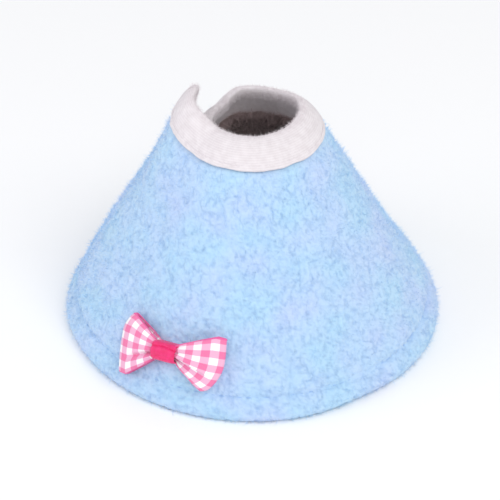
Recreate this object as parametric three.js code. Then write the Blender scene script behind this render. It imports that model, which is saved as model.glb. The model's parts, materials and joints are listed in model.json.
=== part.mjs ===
// A soft recovery collar: one padded fleece sheet rolled into a cone that stands on its wide rim.
// The sheet is built as nine panels side by side, because it bends along the lines between them
// when it is opened. Millimetres, +Z up, the cone's axis is the Z axis before the last shift.
import * as THREE from 'three';

// The wall, seen in section from the rim up to the neck.
const RIM_RADIUS = 73; // where the straight wall would meet its foot
const FOOT_HEIGHT = 1.69; // height of that point over the floor
const LEAN = THREE.MathUtils.degToRad(28.2); // of the wall from the vertical
const WALL_LENGTH = 83; // straight part, measured up the slope
const NECK_BEND_RADIUS = 30; // the wall turns inward with this radius at the neck
const SHEET_TOP = 101.5; // the layers end here, inside the binding
const SECTION_STEP = 4; // between points of the section where it curves
const WALL_STEP = 14; // between points of the section where it is straight

// The layers, as heights over the outer face of the fleece.
const LAYER_GAP = 0.3;
const FLEECE = { outer: 0, inner: -1.8 };
const FOAM = { outer: -2.1, inner: -3.3 };
const LINING = { outer: -3.6, inner: -4.4 };

// The hem: the fleece turns round the rim and runs a little way up the inside.
const HEM_RADIUS = 3.25;
const HEM_CENTRE = 3; // up the slope
const HEM_TOP = 9.5;
const HEM_SEGMENTS = 8;

// The neck binding: a folded cotton strip over the top edge.
const BINDING_THICKNESS = 0.8;
const BINDING_OUTER_EDGE = 92;
const BINDING_INNER_EDGE = 90;
const BINDING_TIP = 107;
const BINDING_NOSE_RADIUS = 1.3;
const NOSE_SEGMENTS = 6;

// Where the sheet bends, in degrees round the axis from the front, positive towards +X.
const PANELS = [
  { name: 'closure_flap', from: -125, to: -88 },
  { name: 'left_panel', from: -88, to: -55 },
  { name: 'bow_panel', from: -55, to: -5 },
  { name: 'front_panel', from: -5, to: 45 },
  { name: 'right_front_panel', from: 45, to: 95 },
  { name: 'right_back_panel', from: 95, to: 145 },
  { name: 'back_panel', from: 145, to: 195 },
  { name: 'left_back_panel', from: 195, to: 240 },
  { name: 'underlap', from: 240, to: 270 },
];
const PANEL_GAP = 0.3;
const PANEL_STEP = 9.5; // widest facet, in degrees

// The ends overlap: the flap lies outside the cone, and the underlap lies inside it.
const FLAP_LIFT = 3.2;
const FLAP_RAMP = { from: -88, to: -55 };
const UNDERLAP_DROP = 4.2;
const UNDERLAP_RAMP = { from: 195, to: 235 };

// Hook and loop strips, facing each other between the two ends.
const STRIP = { width: 12, bottom: 14, top: 78, thickness: 1, azimuth: 254.5 };

// The bow and the band round its middle, sewn to the wall near the rim.
const BOW = { azimuth: -28, up: 21, tilt: 4, halfWidth: 20.5, halfHeight: 12, thickness: 4.2 };
const WAIST = { halfLength: 5.8, halfHeight: 2.9 };
const KNOT = { length: 9.6, height: 8.4, wall: 1, corner: 1.2 };

const FLEECE_BLUE = { color: 0xaed3f7, roughness: 0.95, metalness: 0 };
const FOAM_WHITE = { color: 0xf2efe6, roughness: 0.9, metalness: 0 };
const LINING_DARK = { color: 0x41373a, roughness: 0.95, metalness: 0 };
const COTTON_WHITE = { color: 0xebe4e6, roughness: 0.9, metalness: 0 };
const STRIP_WHITE = { color: 0xe9e9ea, roughness: 0.8, metalness: 0 };
const GINGHAM_PINK = { color: 0xf59ac0, roughness: 0.7, metalness: 0 };
const KNOT_PINK = { color: 0xeb2d6e, roughness: 0.55, metalness: 0 };

const collar = new THREE.Group();

function addPiece(name, geometry, finish, parent = collar) {
  const mesh = new THREE.Mesh(geometry, new THREE.MeshStandardMaterial(finish));
  mesh.name = name;
  parent.add(mesh);
  return mesh;
}

// A point of the section: up the slope, and height over the outer face. It gives the radius and z.
function sectionPoint(up, height) {
  const bend = Math.max(0, up - WALL_LENGTH) / NECK_BEND_RADIUS;
  const straight = Math.min(up, WALL_LENGTH);
  const angle = LEAN + bend;
  return {
    radius:
      RIM_RADIUS -
      straight * Math.sin(LEAN) +
      NECK_BEND_RADIUS * (Math.cos(angle) - Math.cos(LEAN)) +
      height * Math.cos(angle),
    z:
      FOOT_HEIGHT +
      straight * Math.cos(LEAN) +
      NECK_BEND_RADIUS * (Math.sin(angle) - Math.sin(LEAN)) +
      height * Math.sin(angle),
  };
}

// How far the sheet lies outside the plain cone at an azimuth.
function sheetLift(azimuth) {
  const flap = 1 - THREE.MathUtils.smoothstep(azimuth, FLAP_RAMP.from, FLAP_RAMP.to);
  const underlap = THREE.MathUtils.smoothstep(azimuth, UNDERLAP_RAMP.from, UNDERLAP_RAMP.to);
  return FLAP_LIFT * flap - UNDERLAP_DROP * underlap;
}

// Places a point of the sheet. A lifted sheet slides along the slope so that its rim stays down.
function sheetPoint(up, height, azimuth, sideways = 0) {
  const lift = sheetLift(azimuth);
  const slide = lift * Math.tan(LEAN) * THREE.MathUtils.clamp(1 - up / WALL_LENGTH, 0, 1);
  const { radius, z } = sectionPoint(up - slide, height + lift);
  const turn = THREE.MathUtils.degToRad(azimuth) + Math.asin(sideways / radius);
  return new THREE.Vector3(radius * Math.sin(turn), -radius * Math.cos(turn), Math.max(0, z));
}

// The faces of a swept section. It is a list of pairs, each a point of the inner face and one of
// the outer face, and the outer face is on the right on the way along the list.
function sweptFaces(pairs, steps) {
  const inner = (i) => 2 * i;
  const outer = (i) => 2 * i + 1;
  const size = 2 * pairs;
  const top = pairs - 1;
  const last = steps * size;
  const faces = [];
  const quad = (a, b, c, d) => faces.push(a, b, c, a, c, d);
  for (let i = 0; i < top; i++) {
    quad(inner(i), outer(i), outer(i + 1), inner(i + 1));
    quad(last + inner(i + 1), last + outer(i + 1), last + outer(i), last + inner(i));
  }
  for (let near = 0; near < last; near += size) {
    const side = (from, to) => quad(near + from, near + size + from, near + size + to, near + to);
    side(inner(0), outer(0));
    side(outer(top), inner(top));
    for (let i = 0; i < top; i++) {
      side(outer(i), outer(i + 1));
      side(inner(i + 1), inner(i));
    }
  }
  return faces;
}

// Sweeps a section round the cone. placeVertex gets up, height and the share of the way along,
// from 0 to 1.
function sweepSection(section, steps, placeVertex) {
  const positions = [];
  for (let step = 0; step <= steps; step++) {
    for (const { x: up, y: height } of section.flat()) {
      positions.push(...placeVertex(up, height, step / steps).toArray());
    }
  }
  const shared = new THREE.BufferGeometry();
  shared.setAttribute('position', new THREE.Float32BufferAttribute(positions, 3));
  shared.setIndex(sweptFaces(section.length, steps));
  const geometry = shared.toNonIndexed();
  geometry.computeVertexNormals();
  return geometry;
}

// Wraps a section over one panel, half a gap short of the bend line at each end.
function wrapPanel(section, panel) {
  const steps = Math.ceil((panel.to - panel.from) / PANEL_STEP);
  return sweepSection(section, steps, (up, height, share) => {
    const azimuth = THREE.MathUtils.lerp(panel.from, panel.to, share);
    return sheetPoint(up, height, azimuth, (0.5 - share) * PANEL_GAP);
  });
}

// Points up the slope, evenly spaced over the straight wall and closer over the neck bend.
function stations(bottom, top) {
  const list = [bottom];
  const addUpTo = (end, step) => {
    const start = list.at(-1);
    const count = Math.ceil((end - start) / step);
    for (let i = 1; i <= count; i++) list.push(start + ((end - start) * i) / count);
  };
  addUpTo(Math.min(top, WALL_LENGTH), WALL_STEP);
  addUpTo(top, SECTION_STEP);
  return list;
}

function vector(up, height) {
  return new THREE.Vector2(up, height);
}

function layerSection(layer, bottom, top) {
  return stations(bottom, top).map((up) => [vector(up, layer.inner), vector(up, layer.outer)]);
}

// A point of an arc round the rim, from the inside (share 0) under it to the outside (share 1).
function hemPoint(radius, share) {
  const angle = Math.PI * (1 - share);
  return vector(HEM_CENTRE - radius * Math.sin(angle), radius * Math.cos(angle) - HEM_RADIUS);
}

// Down the inside from the hem's edge, round the rim and up the wall.
function fleeceSection() {
  const thickness = FLEECE.outer - FLEECE.inner;
  const hemInside = -2 * HEM_RADIUS;
  const hem = [[vector(HEM_TOP, hemInside + thickness), vector(HEM_TOP, hemInside)]];
  for (let i = 0; i <= HEM_SEGMENTS; i++) {
    const share = i / HEM_SEGMENTS;
    hem.push([hemPoint(HEM_RADIUS - thickness, share), hemPoint(HEM_RADIUS, share)]);
  }
  return [...hem, ...layerSection(FLEECE, HEM_CENTRE, SHEET_TOP).slice(1)];
}

// Up the outer leg, over the nose and down the inner leg.
function bindingSection() {
  const outerFace = FLEECE.outer + LAYER_GAP;
  const innerFace = LINING.inner - LAYER_GAP;
  const outerLeg = { inner: outerFace, outer: outerFace + BINDING_THICKNESS };
  const innerLeg = { inner: innerFace, outer: innerFace - BINDING_THICKNESS };
  const stackTop = SHEET_TOP + LAYER_GAP;
  const noseCentre = BINDING_TIP - BINDING_NOSE_RADIUS;
  const nose = [];
  for (let i = 1; i < NOSE_SEGMENTS; i++) {
    const share = i / NOSE_SEGMENTS;
    const turn = Math.PI * (0.5 - share);
    const height = THREE.MathUtils.lerp(outerFace, innerFace, share);
    nose.push([
      vector(stackTop, height),
      vector(
        noseCentre + BINDING_NOSE_RADIUS * Math.cos(turn),
        (outerFace + innerFace) / 2 + BINDING_NOSE_RADIUS * Math.sin(turn),
      ),
    ]);
  }
  return [
    ...layerSection(outerLeg, BINDING_OUTER_EDGE, stackTop),
    ...nose,
    ...layerSection(innerLeg, BINDING_INNER_EDGE, stackTop).reverse(),
  ];
}

function addPanels() {
  const layerBottom = HEM_CENTRE + LAYER_GAP;
  for (const panel of PANELS) {
    addPiece(`${panel.name}_fleece`, wrapPanel(fleeceSection(), panel), FLEECE_BLUE);
    const foam = layerSection(FOAM, layerBottom, SHEET_TOP);
    addPiece(`${panel.name}_foam`, wrapPanel(foam, panel), FOAM_WHITE);
    const lining = layerSection(LINING, layerBottom, SHEET_TOP);
    addPiece(`${panel.name}_lining`, wrapPanel(lining, panel), LINING_DARK);
    addPiece(`${panel.name}_neck_binding`, wrapPanel(bindingSection(), panel), COTTON_WHITE);
  }
}

// A strip of even width that runs up the slope on one face of the sheet.
function stripGeometry(face, azimuth) {
  const section = layerSection(face, STRIP.bottom, STRIP.top);
  return sweepSection(section, 2, (up, height, share) =>
    sheetPoint(up, height, azimuth, (share - 0.5) * STRIP.width),
  );
}

function addClosureStrips() {
  const hookTop = LINING.inner - LAYER_GAP;
  const hookFace = { outer: hookTop, inner: hookTop - STRIP.thickness };
  const loopBase = FLEECE.outer + LAYER_GAP;
  const loopFace = { outer: loopBase + STRIP.thickness, inner: loopBase };
  addPiece('hook_strip', stripGeometry(hookFace, STRIP.azimuth - 360), STRIP_WHITE);
  addPiece('loop_strip', stripGeometry(loopFace, STRIP.azimuth), STRIP_WHITE);
}

// The outline of two loops drawn in at the middle.
function bowOutline() {
  const { halfWidth, halfHeight } = BOW;
  const { halfLength: waistX, halfHeight: waistY } = WAIST;
  const outline = new THREE.Shape();
  outline.moveTo(-waistX, -waistY);
  outline.lineTo(waistX, -waistY);
  for (const side of [1, -1]) {
    const shoulder = side * halfWidth * 0.94;
    const narrow = side * halfWidth * 0.6;
    const hollow = side * halfHeight * 0.75;
    outline.quadraticCurveTo(narrow, -hollow, shoulder, -side * halfHeight);
    outline.quadraticCurveTo(side * halfWidth * 1.03, 0, shoulder, side * halfHeight);
    outline.quadraticCurveTo(narrow, hollow, side * waistX, side * waistY);
    if (side > 0) outline.lineTo(-waistX, waistY);
  }
  return outline;
}

function roundedRectangle(path, width, height, corner) {
  const x = width / 2;
  const y = height / 2;
  path.moveTo(-x + corner, -y);
  path.lineTo(x - corner, -y);
  path.quadraticCurveTo(x, -y, x, -y + corner);
  path.lineTo(x, y - corner);
  path.quadraticCurveTo(x, y, x - corner, y);
  path.lineTo(-x + corner, y);
  path.quadraticCurveTo(-x, y, -x, y - corner);
  path.lineTo(-x, -y + corner);
  path.quadraticCurveTo(-x, -y, -x + corner, -y);
  return path;
}

// The band round the waist: a ring that the ribbon passes through with a gap all round.
function knotGeometry() {
  const depth = BOW.thickness + 2 * (LAYER_GAP + KNOT.wall);
  const ring = roundedRectangle(new THREE.Shape(), depth, KNOT.height, KNOT.corner);
  const hole = new THREE.Path();
  roundedRectangle(hole, depth - 2 * KNOT.wall, KNOT.height - 2 * KNOT.wall, KNOT.corner / 2);
  ring.holes.push(hole);
  const band = { depth: KNOT.length, bevelEnabled: false, curveSegments: 4 };
  const geometry = new THREE.ExtrudeGeometry(ring, band);
  geometry.translate(0, 0, -KNOT.length / 2);
  geometry.rotateY(Math.PI / 2);
  return geometry.translate(0, 0, LAYER_GAP + depth / 2);
}

function addBow() {
  const bow = new THREE.Group();
  const turn = THREE.MathUtils.degToRad(BOW.azimuth);
  bow.position.copy(sheetPoint(BOW.up, 0, BOW.azimuth));
  bow.rotation.order = 'ZXY';
  bow.rotation.set(Math.PI / 2 - LEAN, 0, turn);
  collar.add(bow);
  const tilted = new THREE.Group();
  tilted.rotation.z = THREE.MathUtils.degToRad(BOW.tilt);
  bow.add(tilted);

  const loops = { depth: BOW.thickness, bevelEnabled: false, curveSegments: 8 };
  const ribbon = new THREE.ExtrudeGeometry(bowOutline(), loops);
  ribbon.translate(0, 0, 2 * LAYER_GAP + KNOT.wall);
  addPiece('bow_ribbon', ribbon, GINGHAM_PINK, tilted);
  addPiece('bow_knot', knotGeometry(), KNOT_PINK, tilted);
}

// The reference point is the middle of the footprint, on the floor.
function centreOnFootprint() {
  const middle = new THREE.Box3().setFromObject(collar, true).getCenter(new THREE.Vector3());
  for (const child of collar.children) {
    child.position.x -= middle.x;
    child.position.y -= middle.y;
  }
}

addPanels();
addClosureStrips();
addBow();
centreOnFootprint();

export default collar;
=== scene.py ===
import json
import math

import bpy
import numpy as np
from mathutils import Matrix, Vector


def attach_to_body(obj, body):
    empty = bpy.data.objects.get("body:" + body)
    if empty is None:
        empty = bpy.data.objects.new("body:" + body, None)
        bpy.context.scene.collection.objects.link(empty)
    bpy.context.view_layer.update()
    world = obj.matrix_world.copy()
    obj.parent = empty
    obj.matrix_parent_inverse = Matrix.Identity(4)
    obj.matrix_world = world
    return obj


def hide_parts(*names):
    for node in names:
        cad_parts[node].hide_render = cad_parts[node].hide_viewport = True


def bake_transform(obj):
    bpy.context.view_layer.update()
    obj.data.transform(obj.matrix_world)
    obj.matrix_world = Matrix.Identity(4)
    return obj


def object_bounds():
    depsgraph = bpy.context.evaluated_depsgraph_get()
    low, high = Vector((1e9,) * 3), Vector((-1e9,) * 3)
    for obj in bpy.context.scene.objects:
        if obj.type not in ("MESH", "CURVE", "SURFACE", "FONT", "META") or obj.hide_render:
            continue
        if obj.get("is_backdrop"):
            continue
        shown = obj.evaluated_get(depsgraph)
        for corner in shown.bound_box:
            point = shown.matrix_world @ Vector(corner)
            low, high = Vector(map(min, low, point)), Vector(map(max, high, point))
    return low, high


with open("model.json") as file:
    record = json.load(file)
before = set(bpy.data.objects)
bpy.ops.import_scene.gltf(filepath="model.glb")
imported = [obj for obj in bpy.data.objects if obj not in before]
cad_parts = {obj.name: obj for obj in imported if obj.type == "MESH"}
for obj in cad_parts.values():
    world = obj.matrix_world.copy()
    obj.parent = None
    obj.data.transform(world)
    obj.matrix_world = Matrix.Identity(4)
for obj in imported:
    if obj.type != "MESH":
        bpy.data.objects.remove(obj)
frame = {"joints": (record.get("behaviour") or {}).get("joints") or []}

CAD_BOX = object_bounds()
MM = 0.001
RANDOM = np.random.default_rng(11)

# The collar's section and layout, in millimetres and degrees round the axis from the front. Up is
# measured up the slope from the rim, height outward from the outer face of the fleece.
RIM_RADIUS = 73.0
FOOT_HEIGHT = 1.69
LEAN = math.radians(28.2)
WALL_LENGTH = 83.0
SHEET_TOP = 101.0
APEX = RIM_RADIUS / math.sin(LEAN)  # how far up the slope the cone would close
FLEECE_THICKNESS = 1.8
FOAM_OUTER, FOAM_INNER, FOAM_BOTTOM, FOAM_TOP = -2.1, -3.3, 5.0, 98.0
LINING_OUTER, LINING_INNER = -3.65, -4.4
HEM_RADIUS, HEM_CENTRE, HEM_TOP = 3.25, 3.0, 9.5
FLAP_LIFT, FLAP_RAMP = 3.2, (-88.0, -55.0)
UNDERLAP_DROP, UNDERLAP_RAMP = 4.2, (195.0, 235.0)
STRIP_AZIMUTH, STRIP_WIDTH, STRIP_BOTTOM, STRIP_TOP = 254.5, 12.0, 14.0, 78.0
BOW_AZIMUTH, BOW_UP, BOW_TILT = -30.0, 21.8, 4.0

# How the soft cloth stands apart from its plain CAD core.
NECK_BEND_RADIUS = 48.0  # at the front, where the neck leans in most
STANDING_BEND_RADIUS = 150.0  # at the back
CORNER_BEND_RADIUS = 600.0  # at the flap's corner, which flares out
FRONT_RISE, BACK_DROP, CORNER_RISE = 1.5, 3.2, 2.8  # of the neck
NECK_THINNING = 0.3  # share of the thickness that the binding presses out
FLAP_SWEEP = 15.0  # how far the flap's edge is cut back at the neck
RIM_SETTLING = 2.0  # how far the overlapping ends sink in near the rim

# The sheet bends at the hinges; each visible piece runs from the middle of one panel to the next.
PANELS = [
    ("closure_flap", -125, -88),
    ("left_panel", -88, -55),
    ("bow_panel", -55, -5),
    ("front_panel", -5, 45),
    ("right_front_panel", 45, 95),
    ("right_back_panel", 95, 145),
    ("back_panel", 145, 195),
    ("left_back_panel", 195, 240),
    ("underlap", 240, 270),
]
HINGE_UP, HINGE_HEIGHT = 41.0, 0.15  # where the CAD's hinges cross the wall
BEND_HALF_WIDTH = 4.0  # half width of the stretch round a hinge; settle works out its ends but does not use them
END_INSET = 2.5  # of the cloth from the sheet's two free ends, before it turns round them
PILE_SHARE = 1  # of the fibres that are made


def smoothstep(value, low, high):
    t = np.clip((value - low) / (high - low), 0, 1)
    return t * t * (3 - 2 * t)


def bump(value, centre, width):
    return np.exp(-(((value - centre) / width) ** 2))


def signed_power(value, power):
    return np.sign(value) * np.abs(value) ** power


def unit(vectors):
    return vectors / np.linalg.norm(vectors, axis=-1, keepdims=True)


def scattered(count, low, high):
    return low + RANDOM.random(count) * (high - low)


# --- the shape of the sheet -------------------------------------------------------------------


def section(up, height, bend=NECK_BEND_RADIUS):
    """Radius and z of a point up the slope, at a height over the outer face."""
    angle = LEAN + np.maximum(0, up - WALL_LENGTH) / bend
    straight = np.minimum(up, WALL_LENGTH)
    turn_in = bend * (np.cos(angle) - math.cos(LEAN))
    turn_up = bend * (np.sin(angle) - math.sin(LEAN))
    radius = RIM_RADIUS - straight * math.sin(LEAN) + turn_in + height * np.cos(angle)
    z = FOOT_HEIGHT + straight * math.cos(LEAN) + turn_up + height * np.sin(angle)
    return radius, z


def cone_axis():
    """Where the cone's axis stands, from the hinge between the bow panel and the front panel."""
    joint = next(j for j in frame["joints"] if j["name"] == "unwrap")
    radius = section(HINGE_UP, HINGE_HEIGHT)[0]
    inward = Vector(joint["axis"][:2]).normalized() * -1
    return Vector(joint["pos_m"][:2]) / MM + inward * float(radius)


AXIS = cone_axis()


def sheet_lift(azimuth, up=WALL_LENGTH):
    """How far the sheet lies outside the plain cone. Near the rim the overlap settles inward."""
    flap = 1 - smoothstep(azimuth, *FLAP_RAMP)
    underlap = smoothstep(azimuth, *UNDERLAP_RAMP)
    settled = RIM_SETTLING * (1 - smoothstep(up, 6, 34)) * (flap + underlap)
    return FLAP_LIFT * flap - UNDERLAP_DROP * underlap - settled


def pulled_in(azimuth, up):
    """How far the upper wall is drawn in from a true cone, most at the back and on the right."""
    turn = np.radians(azimuth)
    return (1.4 + 0.9 * np.sin(turn) - 1.4 * np.cos(turn)) * smoothstep(up, 12, 48)


def sheet_point(up, height, azimuth, sideways=0.0):
    """Places points of the sheet, in millimetres. The arguments broadcast together."""
    up, height, azimuth, sideways = np.broadcast_arrays(up, height, azimuth, sideways)
    lift = sheet_lift(azimuth, up)
    slide = lift * math.tan(LEAN) * np.clip(1 - up / WALL_LENGTH, 0, 1)
    height = height * (1 - NECK_THINNING * smoothstep(up, 90, 103))
    standing = (STANDING_BEND_RADIUS - NECK_BEND_RADIUS) * smoothstep(azimuth, 15, 110)
    flaring = (CORNER_BEND_RADIUS - NECK_BEND_RADIUS) * smoothstep(-azimuth, 50, 122)
    bend = NECK_BEND_RADIUS + standing + flaring
    radius, z = section(up - slide, height + lift, bend)
    z = z + (FRONT_RISE - BACK_DROP * smoothstep(azimuth, 90, 160)) * smoothstep(up, 78, 100)
    z = z + CORNER_RISE * smoothstep(-azimuth, 50, 115) * smoothstep(up, 70, 100)
    radius = radius - pulled_in(azimuth, up)
    into_flap = np.clip((FLAP_RAMP[0] - azimuth) / (FLAP_RAMP[0] - PANELS[0][1]), 0, 1)
    azimuth = azimuth + FLAP_SWEEP * into_flap * smoothstep(up, 78, 102)
    turn = np.radians(azimuth) + np.arcsin(np.clip(sideways / radius, -0.9, 0.9))
    x = AXIS.x + radius * np.sin(turn)
    y = AXIS.y - radius * np.cos(turn)
    return np.stack([x, y, np.maximum(z, 0.0)], axis=-1)


def flat_coordinates(path, azimuth):
    """Where a point lies on the flat cut of the sheet, in millimetres."""
    angle = np.radians(azimuth) * math.sin(LEAN)
    return (APEX - path) * np.sin(angle), (APEX - path) * np.cos(angle)


# --- noise ------------------------------------------------------------------------------------


def hashed(i, j, seed):
    """A repeatable number from 0 to 1 for each cell of a grid."""
    n = np.sin(i * 127.1 + j * 311.7 + seed * 74.7) * 43758.5453
    return n - np.floor(n)


def value_noise(x, y, seed):
    i, j = np.floor(x), np.floor(y)
    u, v = x - i, y - j
    u, v = u * u * (3 - 2 * u), v * v * (3 - 2 * v)
    low = hashed(i, j, seed) * (1 - u) + hashed(i + 1, j, seed) * u
    high = hashed(i, j + 1, seed) * (1 - u) + hashed(i + 1, j + 1, seed) * u
    return 2 * (low * (1 - v) + high * v) - 1


def patches(x, y, size, seed):
    """Noise from -1 to 1 whose patches are about a size across."""
    return value_noise(x / size, y / size, seed)


def cells(x, y, seed):
    """Distances to the nearest and second nearest of points scattered one to a unit cell."""
    i, j = np.floor(x), np.floor(y)
    first = np.full(np.shape(x), 9.0)
    second = first.copy()
    for di in (-1, 0, 1):
        for dj in (-1, 0, 1):
            px = i + di + 0.1 + 0.8 * hashed(i + di, j + dj, seed)
            py = j + dj + 0.1 + 0.8 * hashed(i + di, j + dj, seed + 5)
            d = np.hypot(x - px, y - py)
            second = np.minimum(second, np.maximum(first, d))
            first = np.minimum(first, d)
    return first, second


TUFT, CURL = 3.4, 1.3  # sizes of the pile's lumps and of the curls on them


def fleece_relief(path, azimuth):
    """Height of the pile, in millimetres, and how deep in a crease each point is, from 0 to 1, which the
    fleece's colour uses for painted shade.
    """
    x, y = flat_coordinates(path, azimuth)
    wx = x + 1.5 * patches(x, y, 2.6, 1) + 0.5 * patches(x, y, 0.9, 11)
    wy = y + 1.5 * patches(x, y, 2.6, 2) + 0.5 * patches(x, y, 0.9, 12)
    first, second = cells(wx / TUFT, wy / TUFT, 3)
    lump = np.clip(1 - first * first * 1.5, 0, 1)
    broken = patches(x, y, 1.7, 8) + 0.2 * patches(x, y, 6, 9)
    crease = np.clip(1 - (second - first) * 3.0, 0, 1) * smoothstep(broken, -0.55, 0.55)
    first, second = cells(wx / CURL, wy / CURL, 4)
    curl = np.clip(1 - first * first * 1.6, 0, 1)
    strength = 0.6 + 0.4 * patches(x, y, 7, 10)
    relief = 0.38 * lump * strength - 0.28 * crease + 0.24 * curl + 0.14 * patches(x, y, 0.8, 6)
    gaps = np.clip(1 - (second - first) * 3, 0, 1) * smoothstep(patches(x, y, 1.7, 13), 0, 0.8)
    return relief - 0.25, np.clip(0.6 * crease + 0.4 * gaps, 0, 1)


GROOVE, GROOVE_WIDTH = 9.0, 1.2  # of the hem's topstitching


def body_relief(path, azimuth):
    """The slow relief of the padded wall: hem, stitched groove, puckers, creases and dents."""
    x, y = flat_coordinates(path, azimuth)
    side = 0.6 + 0.4 * np.abs(np.sin(np.radians(azimuth + 10)))
    pucker = 0.5 + 0.5 * value_noise(azimuth / 5.5, path * 0, 21)
    groove = -1.2 * side * bump(path, GROOVE, GROOVE_WIDTH) * (0.6 + 0.7 * pucker)
    hem = 0.45 * bump(path, 3.5, 4.2)
    above = 0.35 * bump(path, GROOVE + 5, 3.5) * (0.6 + 0.8 * pucker)
    waves = 0.55 * patches(x, y, 21, 31) + 0.3 * patches(x, y, 10, 32)
    waves = waves * smoothstep(path, 5, 25) * (1 - smoothstep(path, 80, 91))
    crease = -1.0 * bump(azimuth, 12, 1.3) * bump(path, 17, 9)
    crease += -0.5 * bump(azimuth, 24, 1.6) * bump(path, 12, 7)
    dent = -1.1 * bump(azimuth, -78, 6) * bump(path, 27, 9)
    flat_rim = -1.4 * bump(azimuth, 36, 15) * (1 - smoothstep(path, 8, 40))
    tuck = -0.7 * smoothstep(path, 90.5, 93.5)
    return groove + hem + above + waves + crease + dent + flat_rim + tuck


def fleece_outline(path, out):
    """Up and height of the fleece's outer face: down the wall, round the rim and up the inside."""
    turned = np.clip((HEM_CENTRE - path) / HEM_RADIUS, 0, math.pi)
    beyond = np.maximum(0, HEM_CENTRE - math.pi * HEM_RADIUS - path)
    reach = HEM_RADIUS + out
    up = np.maximum(path, HEM_CENTRE) - reach * np.sin(turned) + beyond
    height = reach * np.cos(turned) - HEM_RADIUS
    return up, height


HEM_END = HEM_CENTRE - math.pi * HEM_RADIUS - (HEM_TOP - HEM_CENTRE)


def fleece_height(path, azimuth):
    """Height of the finished fleece over its plain outer face, and its creases."""
    relief, deep = fleece_relief(path, azimuth)
    outside = smoothstep(path, -6, -2)
    pile = relief * (0.35 + 0.65 * outside) * (1 - 0.8 * smoothstep(path, 90, 92))
    return pile + body_relief(path, azimuth) * outside, deep


def fleece_surface(path, azimuth, sideways=0.0, out=0.0):
    height, deep = fleece_height(path, azimuth)
    up, height = fleece_outline(path, height + out)
    return sheet_point(up, height, azimuth, sideways), deep


# --- meshes -----------------------------------------------------------------------------------


SHARP_ANGLE = math.radians(65)
UV_SPAN = 100.0  # millimetres of flat cloth to one unit of the UV map


class Builder:
    """Gathers vertices, faces, flat coordinates and a crease value, used for painted shade, into one
    mesh.
    """

    def __init__(self):
        self.points, self.faces, self.flat, self.deep = [], [], [], []
        self.count = 0
        self.finish_from = [0]  # the first face of each material slot

    def add(self, points, faces, flat, deep):
        points = np.asarray(points, float).reshape(-1, 3)
        shape = (len(points),)
        self.points.append(points)
        self.flat.append(np.stack([np.broadcast_to(c, shape) for c in flat], -1))
        self.deep.append(np.broadcast_to(deep, shape))
        start = self.count
        self.faces.extend((np.asarray(f) + start).tolist() for f in faces)
        self.count += len(points)
        return start

    def grid(self, points, flat, deep, flip=False, closed_rows=False, closed_columns=False):
        """A grid of points, rows by columns. Rows run down the outer face, columns round it."""
        rows, columns = points.shape[:2]
        index = np.arange(rows * columns).reshape(rows, columns)
        if closed_rows:
            index = np.concatenate([index, index[:1]])
        if closed_columns:
            index = np.concatenate([index, index[:, :1]], axis=1)
        a, b = index[:-1, :-1].ravel(), index[:-1, 1:].ravel()
        c, d = index[1:, 1:].ravel(), index[1:, :-1].ravel()
        faces = np.stack([a, b, c, d] if flip else [a, d, c, b], -1)
        flat = [np.broadcast_to(f, (rows, columns)).reshape(-1) for f in flat]
        deep = np.broadcast_to(deep, (rows, columns)).reshape(-1)
        return self.add(points, faces, flat, deep)

    def next_finish(self):
        self.finish_from.append(len(self.faces))

    def cap_tube(self, ring_size, rings):
        """Closes both ends of a tube, which has to be the first thing built."""
        ring = np.arange(ring_size)
        self.faces.append(ring.tolist())
        self.faces.append((ring[::-1] + ring_size * (rings - 1)).tolist())

    def mesh(self, name, *materials):
        """Makes the object from what was built, shaded smooth except over sharp edges."""
        points = np.concatenate(self.points) * MM
        mesh = bpy.data.meshes.new(name)
        sizes = np.array([len(f) for f in self.faces])
        mesh.vertices.add(len(points))
        mesh.vertices.foreach_set("co", points.astype(np.float32).ravel())
        loops = np.concatenate([np.asarray(f, np.int32) for f in self.faces])
        mesh.loops.add(len(loops))
        mesh.loops.foreach_set("vertex_index", loops)
        mesh.polygons.add(len(sizes))
        starts = np.concatenate([[0], np.cumsum(sizes)[:-1]]).astype(np.int32)
        mesh.polygons.foreach_set("loop_start", starts)
        finish = np.searchsorted(self.finish_from, np.arange(len(sizes)), side="right") - 1
        mesh.polygons.foreach_set("material_index", finish.astype(np.int32))
        mesh.update(calc_edges=True)
        flat = np.concatenate(self.flat)
        layer = mesh.uv_layers.new(name="flat")
        layer.data.foreach_set("uv", (flat[loops] / UV_SPAN).astype(np.float32).ravel())
        # The crease attribute drives painted shade in the fleece and lining colours.
        crease = mesh.attributes.new("crease", "FLOAT", "POINT")
        crease.data.foreach_set("value", np.concatenate(self.deep).astype(np.float32))
        mesh.polygons.foreach_set("use_smooth", np.ones(len(sizes), bool))
        mesh.set_sharp_from_angle(angle=SHARP_ANGLE)
        for material in materials:
            mesh.materials.append(material)
        obj = bpy.data.objects.new(name, mesh)
        bpy.context.collection.objects.link(obj)
        return obj


def ring_points(centre, side, other, radius, count):
    """The points of a ring round each of many centres."""
    turns = [2 * math.pi * k / count for k in range(count)]
    return [centre + (side * math.cos(t) + other * math.sin(t)) * radius for t in turns]


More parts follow.
